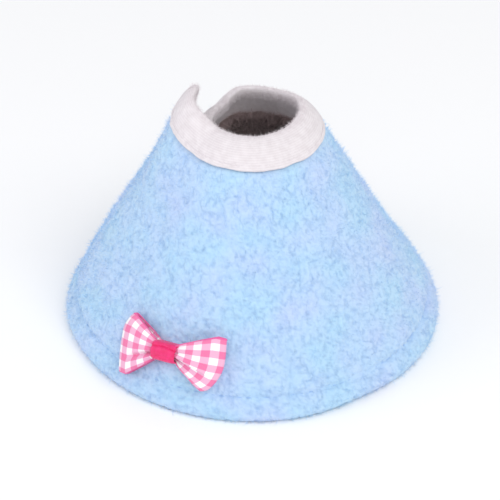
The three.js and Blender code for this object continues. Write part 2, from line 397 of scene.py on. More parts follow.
def add_fibres(builder, roots, along, tips_bend, length, width, flat, deep):
    """Adds closed three-sided spikes: from each root, along a direction, bending on the way."""
    count = len(roots)
    side = np.cross(along, np.array([0.31, 0.22, 0.92]))
    side /= np.linalg.norm(side, axis=1)[:, None]
    other = np.cross(along, side)
    length = np.broadcast_to(length, (count,))[:, None]
    rings = []
    for share, thick, bend in ((0.0, 1.0, 0.0), (0.55, 0.8, 0.3)):
        centre = roots + along * length * share + tips_bend * length * bend
        rings += ring_points(centre, side, other, width * thick / 2, 3)
    tip = roots + along * length * 0.92 + tips_bend * length
    points = np.stack(rings + [tip], axis=1)
    points[..., 2] = np.maximum(points[..., 2], 0.0)
    faces = []
    pattern = [(2, 1, 0), (0, 1, 4, 3), (1, 2, 5, 4), (2, 0, 3, 5), (3, 4, 6), (4, 5, 6), (5, 3, 6)]
    base = np.arange(count) * 7
    for face in pattern:
        faces.extend((base[:, None] + np.array(face)).tolist())
    flat = [np.repeat(f, 7) for f in flat]
    shade = np.repeat(deep, 7)
    builder.add(points.reshape(-1, 3), faces, flat, shade)


# --- the pieces of the sheet ------------------------------------------------------------------


def spans():
    """The stretches of azimuth that the visible pieces cover, each across one hinge."""
    middles = [(low + high) / 2 for _, low, high in PANELS]
    middles[0], middles[-1] = PANELS[0][1], PANELS[-1][2]
    for i in range(len(PANELS) - 1):
        yield {
            "name": f"{PANELS[i][0]}_to_{PANELS[i + 1][0]}",
            "bodies": (PANELS[i][0], PANELS[i + 1][0]),
            "low": middles[i],
            "high": middles[i + 1],
            "width": middles[i + 1] - middles[i],
            "hinge": PANELS[i][2],
            "free_low": i == 0,
            "free_high": i == len(PANELS) - 2,
        }


def columns_of(span, step):
    """Azimuths across a span and how far each is moved sideways, so a free edge keeps its inset."""
    share = np.linspace(0, 1, int(round(span["width"] / step)) + 1)
    azimuth = span["low"] + span["width"] * share
    inset = span["free_low"] * END_INSET * (1 - share) - span["free_high"] * END_INSET * share
    return azimuth[None, :], inset[None, :]


def away_from_ends(span, margin):
    """The azimuths of a span, less a margin at a free end of the sheet."""
    return span["low"] + margin * span["free_low"], span["high"] - margin * span["free_high"]


def settle(obj, span, kind):
    """Bakes a finished piece's transform and hides the CAD nodes it stands for; the ends of its hinge's
    stretch are worked out but not used.
    """
    low_body, high_body = span["bodies"]
    angle = math.radians(span["hinge"])
    middle = sheet_point(40.0, 0.0, float(span["hinge"]))
    along = np.array([math.cos(angle), math.sin(angle), 0.0]) * BEND_HALF_WIDTH
    start, end = (middle - along) * MM, (middle + along) * MM
    tuple(start)
    tuple(end)
    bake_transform(obj)
    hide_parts(*[f"{body}_{kind}" for body in span["bodies"]])


def close_shell(builder, inner_rows, start_outer, start_inner, shape_outer, shape_inner):
    """Joins a fine outer grid and a coarse inner grid round all four sides."""
    rows, columns = shape_outer

    def index(i, j):
        return start_outer + i * columns + j

    def back(k, j):
        return start_inner + k * columns + j

    last = shape_inner[0] - 1
    faces = []
    for j in range(columns - 1):
        faces.append((index(0, j), index(0, j + 1), back(0, j + 1), back(0, j)))
        faces.append((index(rows - 1, j + 1), index(rows - 1, j), back(last, j), back(last, j + 1)))
    for k in range(last):
        low, high = inner_rows[k], inner_rows[k + 1]
        left = [index(i, 0) for i in range(low, high + 1)]
        faces.append(tuple([back(k, 0)] + [back(k + 1, 0)] + left[::-1]))
        right = [index(i, columns - 1) for i in range(low, high + 1)]
        faces.append(tuple(right + [back(k + 1, columns - 1)] + [back(k, columns - 1)]))
    builder.faces.extend(faces)


def add_shell(builder, path, azimuth, place_outer, place_inner, every):
    """A closed sheet of cloth: place_outer gives points and creases, place_inner points."""
    outer, deep = place_outer(path[:, None], azimuth)
    rows, columns = outer.shape[:2]
    flat = flat_coordinates(path[:, None], azimuth)
    first = builder.grid(outer, flat, deep)
    inner_rows = list(range(0, rows - 1, every)) + [rows - 1]
    inner_path = path[inner_rows][:, None]
    inner = place_inner(inner_path, azimuth)
    flat = flat_coordinates(inner_path, azimuth)
    second = builder.grid(inner, flat, 0.0, flip=True)
    close_shell(builder, inner_rows, first, second, (rows, columns), inner.shape[:2])


FLEECE_STEP = 0.62
FIBRES_PER_MM2, FIBRE_LENGTH = 1.5, 1.5
PILE_TOP = SHEET_TOP - 9.5  # the fibres stop under the binding
OUTSIDE_RADIUS, INSIDE_RADIUS = 70.0, 60.0  # of the arcs that fibres are counted over


def thinned(path, azimuth):
    """Drops some places at random, more of them up the slope, where the sheet is narrower."""
    keep = RANDOM.random(len(path)) < (APEX - np.maximum(path, 0)) / APEX
    return path[keep], azimuth[keep]


def fleece_fibres(builder, span):
    """Short curly fibres over the fleece, so that its edges and folds look soft."""
    tall = PILE_TOP - HEM_END
    count = int(tall * math.radians(span["width"]) * OUTSIDE_RADIUS * FIBRES_PER_MM2 * PILE_SHARE)
    path = HEM_END + 6 + RANDOM.random(count) * (tall - 6)
    path, azimuth = thinned(path, scattered(count, span["low"], span["high"]))
    roots, deep = fleece_surface(path, azimuth, 0.0, -0.12)
    above, _ = fleece_surface(path, azimuth, 0.0, 0.4)
    out = unit(above - roots + 1e-9)
    along = unit(out + RANDOM.normal(0, 0.75, (len(path), 3)))
    bend = RANDOM.normal(0, 0.45, (len(path), 3)) - out * 0.15
    reach = FIBRE_LENGTH * (0.6 + 0.8 * RANDOM.random(len(path)))
    flat = flat_coordinates(path, azimuth)
    # Painted shade: fibres rooted in creases are darker, with random tone besides.
    tone = np.clip(deep * 0.8 + 0.25 * RANDOM.random(len(path)), 0, 1)
    add_fibres(builder, roots, along, bend, reach, 0.16, flat, tone)


CAP_COLUMNS = 7
FACING_WIDTH, FACING_HEIGHT = 7.0, -5.0
FACING_PATTERN = -20.0  # the facing is cut from another stretch of the cloth


def end_cap(builder, azimuth, outward):
    """Turns the fleece round a free end of the sheet; outward is -1 at the low end, 1 at the high."""
    turn = np.linspace(0, math.pi / 2, CAP_COLUMNS)[None, :]
    beside = azimuth + outward * turn * 2
    path = np.linspace(SHEET_TOP, HEM_END, 190)[:, None]
    height, deep = fleece_height(path, beside)
    up, height = fleece_outline(path, height)
    facing = np.linspace(HEM_TOP, SHEET_TOP, 150)[:, None]
    relief, facing_deep = fleece_relief(FACING_PATTERN - facing, beside)
    up = np.concatenate([up, facing + 0 * turn])
    height = np.concatenate([height, FACING_HEIGHT - 0.4 * relief])
    deep = np.concatenate([deep, facing_deep])
    half = 2.5 + 0.75 * (1 - smoothstep(up, 8, 14))
    height = -half + (height + half) * np.cos(turn)
    up = np.where(up < HEM_CENTRE, HEM_CENTRE + (up - HEM_CENTRE) * np.cos(turn), up)
    sideways = outward * END_INSET * (np.sin(turn) - 1)
    points = sheet_point(up, height, azimuth, sideways)
    flat = flat_coordinates(np.concatenate([path, FACING_PATTERN - facing]), beside)
    builder.grid(points, flat, deep, flip=outward < 0)


def end_facing(builder, azimuth, outward):
    """The turned-in fleece on the inner face, beside a free end, with its line of stitching."""
    path = np.linspace(HEM_TOP - 1.5, SHEET_TOP - 9, 140)[:, None]
    inset = np.linspace(END_INSET, FACING_WIDTH, 12)[None, :]
    beside = azimuth - outward * inset
    relief, deep = fleece_relief(FACING_PATTERN - path, beside)
    rounded = 0.6 * smoothstep(inset, FACING_WIDTH - 0.7, FACING_WIDTH)
    stitched = 0.3 * bump(inset, FACING_WIDTH - 1.6, 0.5)
    top = sheet_point(path, FACING_HEIGHT - 0.4 * relief + rounded + stitched, azimuth, -outward * inset)
    base = sheet_point(path, LINING_INNER, azimuth, -outward * inset)
    loop = np.concatenate([top, base[:, ::-1], top[:, :1]], axis=1)
    around = np.concatenate([beside, beside[:, ::-1], beside[:, :1]], axis=1)
    shade = np.concatenate([deep, deep[:, ::-1], deep[:, :1]], axis=1)
    builder.grid(loop, flat_coordinates(FACING_PATTERN - path, around), shade, flip=outward > 0)


def make_fleece(span, fleece, thread):
    builder = Builder()
    path = np.arange(SHEET_TOP, HEM_END, -FLEECE_STEP)
    azimuth, inset = columns_of(span, 0.5)
    add_shell(
        builder,
        path,
        azimuth,
        lambda p, a: fleece_surface(p, a, inset),
        lambda p, a: sheet_point(*fleece_outline(p, -FLEECE_THICKNESS), a, inset),
        10,
    )
    for free, edge, outward in (("free_low", "low", -1), ("free_high", "high", 1)):
        if span[free]:
            end_cap(builder, span[edge], outward)
            end_facing(builder, span[edge], outward)
    fleece_fibres(builder, span)
    builder.next_finish()
    hem_stitches(builder, span)
    obj = builder.mesh(f"fleece_{span['name']}", fleece, thread)
    settle(obj, span, "fleece")


# --- stitches ---------------------------------------------------------------------------------


def add_stitches(builder, starts, ends, out, thickness):
    """Short raised threads, each a closed six-sided tube whose ends dip into the cloth."""
    rings = ((0.0, 0.35, -0.5), (0.12, 0.8, 0.0), (0.5, 1.0, 0.35), (0.88, 0.8, 0.0), (1.0, 0.35, -0.5))
    along = unit(ends - starts)
    side = unit(np.cross(out, along))
    points = []
    for share, thick, lift in rings:
        centre = starts + (ends - starts) * share + out * thickness * lift
        points += ring_points(centre, side, out, thickness * thick / 2, 6)
    points = np.stack(points, axis=1)
    faces = []
    base = np.arange(len(starts)) * 6 * len(rings)
    for ring in range(len(rings) - 1):
        for k in range(6):
            a, b = ring * 6 + k, ring * 6 + (k + 1) % 6
            faces.extend((base[:, None] + np.array([a, b, b + 6, a + 6])).tolist())
    last = 6 * (len(rings) - 1)
    faces.extend((base[:, None] + np.array([5, 4, 3, 2, 1, 0])).tolist())
    faces.extend((base[:, None] + last + np.arange(6)).tolist())
    builder.add(points.reshape(-1, 3), faces, (0.0, 0.0), 0.0)


def stitch_azimuths(span, radius, pitch, length):
    """Start and end azimuths of the stitches of a seam that runs round the cone."""
    step = math.degrees(pitch / radius)
    low, high = away_from_ends(span, 2.5)
    starts = np.arange(math.ceil(low / step), math.floor(high / step)) * step
    return starts, starts + step * length / pitch


def hem_stitches(builder, span):
    radius = float(section(GROOVE, 0.0)[0])
    starts, ends = stitch_azimuths(span, radius, 3.4, 2.7)
    low, _ = fleece_surface(GROOVE, starts, 0.0, -0.1)
    high, _ = fleece_surface(GROOVE, ends, 0.0, -0.1)
    above, _ = fleece_surface(GROOVE, starts, 0.0, 0.9)
    add_stitches(builder, low, high, unit(above - low), 0.4)


# --- the lining -------------------------------------------------------------------------------


LINING_BOTTOM, LINING_TOP = 4.0, 98.0


def lining_surface(path, azimuth, sideways=0.0, out=0.0):
    x, y = flat_coordinates(path, azimuth)
    first, _ = cells(x / 2.2, y / 2.2, 41)
    relief = 0.35 * np.clip(1 - first * first * 1.5, 0, 1) + 0.12 * patches(x, y, 0.9, 42)
    free = smoothstep(path, 9, 12) * (1 - smoothstep(path, 89, 91))
    height = LINING_INNER - (relief + out) * free
    # The second value, highest on the raised lumps, paints light and shade: the lining's colour is
    # lighter on the lumps and darker between them.
    return sheet_point(path, height, azimuth, sideways), np.clip(relief * 2, 0, 1)


def lining_fibres(builder, span, low, high, density, length):
    """Brushed fibres between two heights up the slope, leaning up towards the neck."""
    count = int((high - low) * math.radians(span["width"]) * INSIDE_RADIUS * density)
    path = scattered(count, low, high)
    path, azimuth = thinned(path, scattered(count, *away_from_ends(span, 6)))
    roots, deep = lining_surface(path, azimuth, 0.0, -0.1)
    above, _ = lining_surface(path, azimuth, 0.0, 0.6)
    upward = sheet_point(path + 1, LINING_INNER, azimuth) - sheet_point(path, LINING_INNER, azimuth)
    upward = unit(upward)
    along = unit(unit(above - roots + 1e-9) + 0.5 * upward + RANDOM.normal(0, 0.45, (len(path), 3)))
    bend = RANDOM.normal(0, 0.3, (len(path), 3)) + upward * 0.2
    reach = length * (0.6 + 0.8 * RANDOM.random(len(path)))
    # Painted shade: fibres over raised lumps are lighter, with random tone besides.
    tone = np.clip(deep * 0.5 + 0.5 * RANDOM.random(len(path)), 0, 1)
    add_fibres(builder, roots, along, bend, reach, 0.15, flat_coordinates(path, azimuth), tone)


def make_lining(span, material):
    builder = Builder()
    path = np.arange(LINING_BOTTOM, LINING_TOP, 1.0)
    azimuth, inset = columns_of(span, 0.9)
    add_shell(
        builder,
        path,
        azimuth,
        lambda p, a: lining_surface(p, a, inset),
        lambda p, a: sheet_point(p, LINING_OUTER, a, inset),
        8,
    )
    lining_fibres(builder, span, 10, 86, 0.5 * PILE_SHARE, 1.6)
    lining_fibres(builder, span, 82, 90.5, 5.0, 2.6)
    lining_fibres(builder, span, 88, 91.0, 5.0, 4.2)
    obj = builder.mesh(f"lining_{span['name']}", material)
    settle(obj, span, "lining")


# --- the neck binding -------------------------------------------------------------------------

BINDING_EDGE, BINDING_INNER_EDGE, BINDING_TIP = 93.2, 90.0, 107.0
BINDING_MIDDLE = 97.0  # where its flat length is measured
BINDING_CLOTH = 0.75
BINDING_SEAM = 2.4  # of the stitching, from the outer edge
NOSE_START = 100.0  # where the strip begins to turn over the lip
OUTER_FACE, INNER_FACE = 1.15, -5.5
MIDDLE_HEIGHT = (OUTER_FACE + INNER_FACE) / 2
BAND_RADIUS = 26.0


def arc(centre, across, along, first, last, count):
    """Points of an ellipse in up and height, from one angle to another, in degrees."""
    angle = np.radians(np.linspace(first, last, count))
    return np.stack([centre[0] + along * np.cos(angle), centre[1] + across * np.sin(angle)], -1)


def binding_outline(step):
    """Up, height and normal of the binding, from its inner edge over the lip to its outer edge."""
    inner_edge = arc((BINDING_INNER_EDGE + 0.5, INNER_FACE + 0.5), 0.5, 0.5, -200, -90, 8)
    reach = (OUTER_FACE - MIDDLE_HEIGHT, BINDING_TIP - NOSE_START)
    nose = arc((NOSE_START, MIDDLE_HEIGHT), *reach, -90, 90, 60)
    outer_edge = arc((BINDING_EDGE + 0.7, OUTER_FACE - 0.7), 0.7, 0.7, 90, 200, 10)
    corners = np.concatenate([inner_edge, nose, outer_edge])
    length = np.concatenate([[0], np.cumsum(np.hypot(*np.diff(corners, axis=0).T))])
    along = np.linspace(0, length[-1], int(length[-1] / step))
    points = np.stack([np.interp(along, length, corners[:, k]) for k in (0, 1)], -1)
    tangent = unit(np.gradient(points, axis=0))
    return points, np.stack([tangent[:, 1], -tangent[:, 0]], -1), length[-1] - along


def binding_relief(from_edge, azimuth):
    """Wrinkles of the cotton, in millimetres: puckers at the seam and soft folds over the lip."""
    round_band = np.radians(azimuth) * BAND_RADIUS
    seam = -0.3 * bump(from_edge, BINDING_SEAM, 0.5)
    puckers = 0.16 * value_noise(round_band / 1.5, from_edge / 4, 51) * bump(from_edge, BINDING_SEAM, 1.6)
    folds = 0.22 * value_noise(round_band / 5, from_edge / 9, 52)
    fine = 0.07 * value_noise(round_band / 1.1, from_edge / 2.2, 53)
    plump = 0.35 * bump(from_edge, 7.5, 4.0)
    edge = 0.12 * value_noise(round_band / 2.5, 0 * from_edge, 54) * bump(from_edge, 0.8, 1.0)
    return seam + puckers + folds + fine + plump + edge


def rounded_columns(span, step):
    """Azimuth, sideways move, closing and distance round the band of the binding's columns.

    Closing is 1 along the band and falls to nearly 0 where a free end rounds off."""
    azimuth, inset = (c[0] for c in columns_of(span, step))
    closing = np.ones(len(azimuth))
    around = np.radians(azimuth) * BAND_RADIUS
    turn = np.linspace(0, math.radians(84), CAP_COLUMNS)[1:]
    past = END_INSET * (1 - np.sin(turn))
    if span["free_low"]:
        azimuth = np.concatenate([0 * turn + span["low"], azimuth])
        inset = np.concatenate([past[::-1], inset])
        closing = np.concatenate([np.cos(turn)[::-1], closing])
        around = np.concatenate([around[0] - 2 * turn[::-1], around])
    if span["free_high"]:
        azimuth = np.concatenate([azimuth, 0 * turn + span["high"]])
        inset = np.concatenate([inset, -past])
        closing = np.concatenate([closing, np.cos(turn)])
        around = np.concatenate([around, around[-1] + 2 * turn])
    return azimuth[None, :], inset[None, :], closing[None, :], around[None, :]


def binding_point(up, height, azimuth, sideways, closing):
    """Places the binding. Closing draws its faces together and lowers its lip at a free end."""
    height = MIDDLE_HEIGHT + (height - MIDDLE_HEIGHT) * closing
    up = np.where(up > NOSE_START, NOSE_START + (up - NOSE_START) * (0.2 + 0.8 * closing), up)
    return sheet_point(up, height, azimuth, sideways)


def binding_stitches(builder, span):
    points, _, from_edge = binding_outline(0.2)
    row = int(np.argmin(np.abs(from_edge - BINDING_SEAM)))
    up, height = points[row]
    radius = float(section(up, height)[0])
    starts, ends = stitch_azimuths(span, radius, 2.2, 1.7)
    low = sheet_point(up, height - 0.12, starts)
    high = sheet_point(up, height - 0.12, ends)
    out = unit(sheet_point(up, height + 1, starts) - low)
    add_stitches(builder, low, high, out, 0.3)


def lip_fibres(builder, span):
    """Loose cotton ends along the lip of the neck."""
    points, normal, from_edge = binding_outline(0.2)
    count = int(span["width"] * 16)
    rows = np.searchsorted(-from_edge, -(12.5 + RANDOM.random(count) * 10)).clip(0, len(points) - 1)
    azimuth = scattered(count, *away_from_ends(span, 5))
    up, height = points[rows].T
    roots = sheet_point(up, height, azimuth)
    out = unit(sheet_point(up + normal[rows, 0], height + normal[rows, 1], azimuth) - roots)
    along = unit(out + RANDOM.normal(0, 0.5, (count, 3)))
    bend = RANDOM.normal(0, 0.4, (count, 3))
    length = 0.5 + 0.7 * RANDOM.random(count)
    flat = (np.radians(azimuth) * BAND_RADIUS, from_edge[rows])
    add_fibres(builder, roots, along, bend, length, 0.08, flat, np.zeros(count))


def make_binding(span, material, thread):
    builder = Builder()
    points, normal, from_edge = binding_outline(0.32)
    azimuth, inset, closing, around = rounded_columns(span, 0.8)
    relief = binding_relief(from_edge[:, None], azimuth)
    up = points[:, :1] + normal[:, :1] * relief
    height = points[:, 1:] + normal[:, 1:] * relief
    face = binding_point(up, height, azimuth, inset, closing)
    first = builder.grid(face, (around, from_edge[:, None]), 0.0)
    kept = np.array(list(range(0, len(points) - 1, 6)) + [len(points) - 1])
    up, height = (points - normal * BINDING_CLOTH)[kept].T[..., None]
    back = binding_point(up, height, azimuth, inset, closing)
    second = builder.grid(back, (around, from_edge[kept][:, None]), 0.0, flip=True)
    close_shell(builder, kept, first, second, face.shape[:2], back.shape[:2])
    lip_fibres(builder, span)
    builder.next_finish()
    binding_stitches(builder, span)
    obj = builder.mesh(f"binding_{span['name']}", material, thread)
    settle(obj, span, "neck_binding")
    lift = sheet_lift((span["low"] + span["high"]) / 2)
    radius = float(section(BINDING_MIDDLE, lift)[0])


# --- the foam ---------------------------------------------------------------------------------


def make_foam(span, material):
    """The pad between the fleece and the lining."""
    builder = Builder()
    azimuth, inset = columns_of(span, 2.0)
    inset = inset * 1.2
    add_shell(
        builder,
        np.linspace(FOAM_BOTTOM, FOAM_TOP, 48),
        azimuth,
        lambda p, a: (sheet_point(p, FOAM_OUTER, a, inset), 0.0),
        lambda p, a: sheet_point(p, FOAM_INNER, a, inset),
        4,
    )
    obj = builder.mesh(f"foam_{span['name']}", material)
    settle(obj, span, "foam")


# --- the closure strips -----------------------------------------------------------------------


def make_tape(name, azimuth, base, outward, material, thread):
    """A woven tape sewn flat to the sheet, with a line of stitches along each side."""
    builder = Builder()
    half = STRIP_WIDTH / 2
    turn = np.linspace(0, 2 * math.pi, 72, endpoint=False)[None, :]
    across = half * signed_power(np.cos(turn), 0.2)
    deep = 0.3 * signed_power(np.sin(turn), 0.5)
    up = np.linspace(STRIP_BOTTOM, STRIP_TOP, 130)[:, None]
    tape = sheet_point(up, base + outward * 0.35 + deep, azimuth, across)
    builder.grid(tape, (across, up), 0.0, closed_columns=True)
    builder.cap_tube(turn.size, len(up))
    builder.next_finish()
    starts = np.arange(STRIP_BOTTOM + 1, STRIP_TOP - 3, 2.6)
    for side in (-1, 1):
        sideways, height = side * (half - 1.2), base + outward * 0.62
        low = sheet_point(starts, height, azimuth, sideways)
        high = sheet_point(starts + 2.0, height, azimuth, sideways)
        above = sheet_point(starts, height + outward, azimuth, sideways)
        add_stitches(builder, low, high, unit(above - low), 0.3)
    obj = builder.mesh(name, material, thread)
    return obj


def pile_roots(azimuth, height, outward, up, sideways):
    """Where the pile of a strip starts, and the directions out of the strip and up the slope."""
    roots = sheet_point(up, height, azimuth, sideways)
    out = unit(sheet_point(up, height + outward, azimuth, sideways) - roots)
    rise = unit(sheet_point(up + 1, height, azimuth, sideways) - roots)
    return roots, out, rise


def make_hooks(azimuth, height, outward, material):
    """Rows of small bent hooks, every other one facing the other way."""
    columns = np.arange(-STRIP_WIDTH / 2 + 2, STRIP_WIDTH / 2 - 1.9, 1.0)
    rows = np.arange(STRIP_BOTTOM + 1, STRIP_TOP - 0.5, 1.2)
    up, sideways = (g.ravel() for g in np.meshgrid(rows, columns, indexing="ij"))
    roots, out, rise = pile_roots(azimuth, height, outward, up, sideways)
    facing = np.where(np.arange(len(up)) % 2 == 0, 0.7, -0.7)[:, None]
    builder = Builder()
    add_fibres(builder, roots, out, rise * facing - out * 0.35, 0.75, 0.26, (sideways, up), 0 * up)
    return builder.mesh("hooks", material)


def make_loops(azimuth, height, outward, material):
    """A dense tangle of fine loops."""
    count = 2600
    up = scattered(count, STRIP_BOTTOM + 1, STRIP_TOP - 1)
    sideways = (RANDOM.random(count) - 0.5) * (STRIP_WIDTH - 3.2)
    roots, out, _ = pile_roots(azimuth, height, outward, up, sideways)
    along = unit(out + RANDOM.normal(0, 0.6, (count, 3)))
    bend = RANDOM.normal(0, 0.5, (count, 3)) - out * 0.2
    builder = Builder()
    add_fibres(builder, roots, along, bend, 0.75, 0.1, (sideways, up), RANDOM.random(count))
    return builder.mesh("loops", material)


def attach(obj, body, node):
    """Fixes a piece to a body and hides the CAD node it stands for."""
    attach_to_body(obj, body)
    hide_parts(node)


def make_closure(material, thread):
    """The hook strip inside the flap and the loop strip outside the underlap, facing it."""
    hook_base, loop_base, top = LINING_INNER - 0.25, 0.2, 0.6
    flap_azimuth = STRIP_AZIMUTH - 360
    hook_tape = make_tape("hook_tape", flap_azimuth, hook_base, -1, material, thread)
    hooks = make_hooks(flap_azimuth, hook_base - top, -1, material)
    loop_tape = make_tape("loop_tape", STRIP_AZIMUTH, loop_base, 1, material, thread)
    loops = make_loops(STRIP_AZIMUTH, loop_base + top - 0.1, 1, material)
    for tape, pile, body, node in (
        (hook_tape, hooks, "closure_flap", "hook_strip"),
        (loop_tape, loops, "underlap", "loop_strip"),
    ):
        for obj in (tape, pile):
            attach(obj, body, node)


# --- the bow ----------------------------------------------------------------------------------

RIBBON_HALF, RIBBON_THICKNESS = 12.0, 0.3
LOOP_LENGTH, LOOP_OPENING = 21.0, 2.5
WAIST_HALF_LENGTH, WAIST_HALF_HEIGHT = 4.0, 3.4
RIBBON_BACK = 0.95  # height of the loops' back layer over the fleece
BAND_HALF_LENGTH, BAND_HALF_HEIGHT, BAND_TOP, BAND_CLOTH = 5.0, 3.7, 7.2, 0.45
BAND_BACK = 0.4


def bow_frame():
    """The bow's origin on the wall and its axes: along the ribbon, up the slope and outward."""
    turn, tilt = math.radians(BOW_AZIMUTH), math.radians(BOW_TILT)
    origin = sheet_point(BOW_UP, 0.0, BOW_AZIMUTH)
    outward = unit(sheet_point(BOW_UP, 1.0, BOW_AZIMUTH) - origin)
    tangent = np.array([math.cos(turn), math.sin(turn), 0.0])
    rise = np.cross(outward, tangent)
    along = tangent * math.cos(tilt) + rise * math.sin(tilt)
    return origin, along, np.cross(outward, along), outward


def bow_point(x, y, z):
    """A point of the bow, in millimetres along the ribbon, up the slope and outward."""
    origin, along, rise, outward = bow_frame()
    drop = 0.6 * x * x / (2 * 72.0)  # the loops follow the round wall part of the way
    x, y, z = np.broadcast_arrays(x, y, z - drop)
    return origin + x[..., None] * along + y[..., None] * rise + z[..., None] * outward


def ribbon_run(step):
    """Stations along the ribbon: side, share of the loop's length, and front (1) or back (-1)."""
    turn = np.linspace(-math.pi / 2, math.pi / 2, 900)
    share = 1 - (1 - np.cos(turn)) ** 1.35
    face = np.sign(turn) * np.sqrt(np.clip(1 - share**7, 0, 1))
    x, z = share * LOOP_LENGTH, (LOOP_OPENING / 2) * face
    length = np.concatenate([[0], np.cumsum(np.hypot(np.diff(x), np.diff(z)))])
    at = np.linspace(0, length[-1], int(length[-1] / step))
    share, face = np.interp(at, length, share), np.interp(at, length, face)
    sides = np.concatenate([np.ones(len(at)), -np.ones(len(at) - 1)])
    share = np.concatenate([share, share[::-1][1:]])
    face = np.concatenate([face, face[::-1][1:]])
    return sides, share, face, np.concatenate([at, at[-1] + at[1:]])


def ribbon_pleats(side, share, across):
    """Folds of the loops' front layer; across runs from -1 at the lower edge to 1 at the upper."""
    near = 1 - smoothstep(share, 0.25, 0.8)
    mid = 1 - smoothstep(share, 0.55, 1.0)
    gathers = 0.55 * np.cos(across * math.pi * 3.6 + 0.4) * (1 - smoothstep(share, 0.2, 0.6))
    left = -1.8 * bump(across, -0.22 - 0.25 * share, 0.1) * mid - 0.6 * bump(across, 0.5, 0.13) * near
    left += 0.5 * bump(across, -0.62, 0.2) * mid
    step_at = -0.12 - 0.2 * share
    right = 2.2 * smoothstep(across, step_at - 0.05, step_at + 0.05) * mid - 1.1 * mid
    right += -0.7 * bump(across, -0.55, 0.1) * near - 0.4 * bump(across, 0.55, 0.12) * near
    return gathers + np.where(side < 0, left, right)


def loop_reach(side, across):
    """How far each loop reaches from the knot, from its lower edge (-1) to its upper edge (1)."""
    left = 21.0 - 8.0 * np.maximum(0, across - 0.3) ** 2 - 0.8 * np.maximum(0, 0.3 - across) ** 2
    right = 22.8 - 1.4 * np.maximum(0, across - 0.2) ** 2 - 5.3 * np.maximum(0, 0.2 - across) ** 2
    return np.where(side < 0, left, right)


def ribbon_surface(step):
    """The middle surface of the ribbon and its flat coordinates."""
    side, share, face, length = (c[:, None] for c in ribbon_run(step))
    across = np.linspace(-1, 1, int(2 * RIBBON_HALF / step) + 1)[None, :]
    x = side * share * loop_reach(side, across)
    spread = smoothstep(np.abs(x), WAIST_HALF_LENGTH - 0.8, WAIST_HALF_LENGTH + 1.5)
    flare = np.where(side < 0, 12.0, 14.5)
    widening = np.clip((np.abs(x) - WAIST_HALF_LENGTH) / flare, 0, 1) ** 0.9
    half = WAIST_HALF_HEIGHT + (RIBBON_HALF - WAIST_HALF_HEIGHT) * widening * spread
    front = (1 + face) / 2
    bulge = 1.7 * np.sin(math.pi * np.clip(share, 0, 1)) * (1 - 0.35 * across**2)
    z = RIBBON_BACK + front * (LOOP_OPENING + bulge + ribbon_pleats(side, share, across))
    z = z + (1 - front) * 0.25 * np.cos(across * math.pi * 3) * (1 - smoothstep(share, 0.3, 0.7))
    droop = 0.8 * smoothstep(np.abs(across), 0.86, 1.0) * front * smoothstep(share, 0.3, 0.6)
    y = half * across * (1 - 0.02 * droop) - np.where(side < 0, 1.2, 1.9) * widening
    points = bow_point(x, y, z - droop)
    return points, (length + 0 * across, across * RIBBON_HALF + 0 * length)


def make_ribbon(material):
    builder = Builder()
    middle, flat = ribbon_surface(0.3)
    out = unit(np.cross(np.gradient(middle, axis=0), np.gradient(middle, axis=1)))
    columns = middle.shape[1]
    edge = np.minimum(np.arange(columns), np.arange(columns)[::-1])
    thick = RIBBON_THICKNESS * (1 + 0.5 * (edge < 3)) * (edge > 0)
    offset = out * (thick / 2)[None, :, None]
    back = slice(columns - 2, 0, -1)
    loop = np.concatenate([middle + offset, (middle - offset)[:, back]], axis=1)
    coordinates = [np.concatenate([f, f[:, back]], axis=1) for f in flat]
    builder.grid(loop, coordinates, 0.0, closed_columns=True)
    builder.cap_tube(loop.shape[1], loop.shape[0])
    obj = builder.mesh("bow_loops", material)
    attach(obj, "bow_panel", "bow_ribbon")


def band_surface(x, angle, inset):
    """The satin band round the bow's waist: a softly squared tube with folds along it."""
    y, z = signed_power(np.cos(angle), 0.62), signed_power(np.sin(angle), 0.62)
    ends = 1 - 0.09 * np.abs(x / BAND_HALF_LENGTH) ** 4
    half_depth = (BAND_TOP - BAND_BACK) / 2
    front = smoothstep(np.sin(angle), 0.1, 0.5)
    folds = 0.55 * bump(y, 0.5 + 0.07 * np.cos(x * 0.5), 0.075)
    folds = folds + 0.25 * bump(y, -0.42 + 0.03 * x, 0.08)
    folds = folds + 0.1 * value_noise(x / 3.0, y * 4.5, 61) - 0.25 * bump(y, 0.05, 0.3)
    reach = 1 - inset / 3.6
    height = BAND_BACK + half_depth + half_depth * z * ends * reach - folds * front * reach
    return bow_point(x, y * BAND_HALF_HEIGHT * ends * reach, height)


def make_band(material):
    builder = Builder()
    x = np.linspace(-BAND_HALF_LENGTH, BAND_HALF_LENGTH, 60)
    angle = np.linspace(0, 2 * math.pi, 120, endpoint=False)[:, None]
    rim = BAND_HALF_LENGTH + 0.12
    across = np.concatenate([x, [rim], x[::-1], [-rim]])[None, :]
    inset = np.concatenate([0 * x, [0.5], 0 * x + 1, [0.5]])[None, :] * BAND_CLOTH
    points = band_surface(across, angle, inset)
    flat = (across, 4 * np.cos(angle))
    builder.grid(points, flat, 0.0, flip=True, closed_rows=True, closed_columns=True)
    obj = builder.mesh("bow_band", material)
    attach(obj, "bow_panel", "bow_knot")
    around = float(np.linalg.norm(np.diff(points[:, 30], axis=0), axis=1).sum())


# --- materials --------------------------------------------------------------------------------


